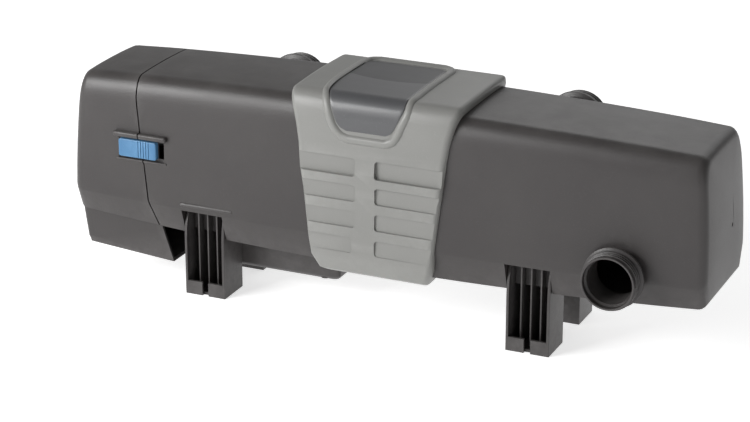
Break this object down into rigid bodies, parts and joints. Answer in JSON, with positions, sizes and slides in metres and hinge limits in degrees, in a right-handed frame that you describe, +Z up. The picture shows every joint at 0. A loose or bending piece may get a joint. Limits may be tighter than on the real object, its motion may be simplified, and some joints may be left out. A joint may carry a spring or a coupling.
{
  "type": "uv clarifier",
  "caption": "Long tapered pond water clarifier with a saddle collar, latched end cover, low ballast pan, clip-on feet and threaded hose ports around a quartz-sleeved lamp.",
  "frame": {"origin": "on the ground in the middle of the overall box, under the collar", "axes": "+X along the casing towards its closed end, -Y is the front with the low port, +Z up"},
  "size_m": [0.731, 0.2, 0.2583],
  "materials": {
    "casing_plastic": "fine spark-eroded texture, warm dark grey",
    "collar_plastic": "satin light greenish grey",
    "badge_plastic": "glossy two-tone grey",
    "latch_plastic": "satin blue",
    "black_plastic": "satin black",
    "inner_plastic": "plain grey",
    "seal_rubber": "matt black rubber",
    "quartz": "clear quartz",
    "lamp_glass": "clear lamp glass with a white base",
    "screw_steel": "stainless steel"
  },
  "bodies": {
    "casing": {"casing_left": "casing_plastic", "casing_right": "casing_plastic", "ballast_pan": "casing_plastic", "port_front": "casing_plastic", "port_rear_left": "casing_plastic", "port_rear_right": "casing_plastic", "foot_front_left": "casing_plastic", "foot_front_right": "casing_plastic", "foot_rear_left": "casing_plastic", "foot_rear_right": "casing_plastic", "collar": "collar_plastic", "badge_plate": "badge_plastic", "cable_gland": "black_plastic", "gland_nut": "black_plastic", "safety_switch": "black_plastic", "lamp_socket": "black_plastic", "lamp_lead": "black_plastic", "ballast": "inner_plastic", "lamp_head": "inner_plastic", "sleeve_end_support": "inner_plastic", "rotor_bearing_left": "inner_plastic", "rotor_bearing_right": "inner_plastic", "casing_seal": "seal_rubber", "sleeve_seal": "seal_rubber", "quartz_sleeve": "quartz", "uvc_lamp": "lamp_glass", "collar_screw_1": "screw_steel", "collar_screw_2": "screw_steel", "collar_screw_3": "screw_steel", "collar_screw_4": "screw_steel", "pan_screw_1": "screw_steel", "pan_screw_2": "screw_steel", "pan_screw_3": "screw_steel", "pan_screw_4": "screw_steel"},
    "end_cover": {"end_cover": "casing_plastic"},
    "latch_front": {"latch_slider_front": "latch_plastic"},
    "latch_rear": {"latch_slider_rear": "latch_plastic"},
    "rotor": {"cleaning_rotor": "black_plastic"},
    "clamp_ring": {"sleeve_clamp_ring": "black_plastic"},
    "plunger": {"safety_plunger": "latch_plastic"}
  },
  "joints": [
    {"name": "cover_pull", "type": "slide", "parent": "casing", "child": "end_cover", "axis": [-1, 0, 0], "range_m": [0, 0.08]},
    {"name": "latch_front_slide", "type": "slide", "parent": "end_cover", "child": "latch_front", "axis": [1, 0, 0], "range_m": [0, 0.0075]},
    {"name": "latch_rear_slide", "type": "slide", "parent": "end_cover", "child": "latch_rear", "axis": [1, 0, 0], "range_m": [0, 0.0075]},
    {"name": "rotor_spin", "type": "hinge", "parent": "casing", "child": "rotor", "pos_m": [0.0325, 0, 0.16], "axis": [1, 0, 0], "continuous": true},
    {"name": "clamp_ring_turn", "type": "hinge", "parent": "casing", "child": "clamp_ring", "pos_m": [-0.251, 0, 0.16], "axis": [-1, 0, 0], "range_deg": [0, 40]},
    {"name": "plunger_press", "type": "slide", "parent": "casing", "child": "plunger", "axis": [1, 0, 0], "range_m": [0, 0.0025], "stiffness_N_per_m": 400, "springref_m": -0.002}
  ]
}
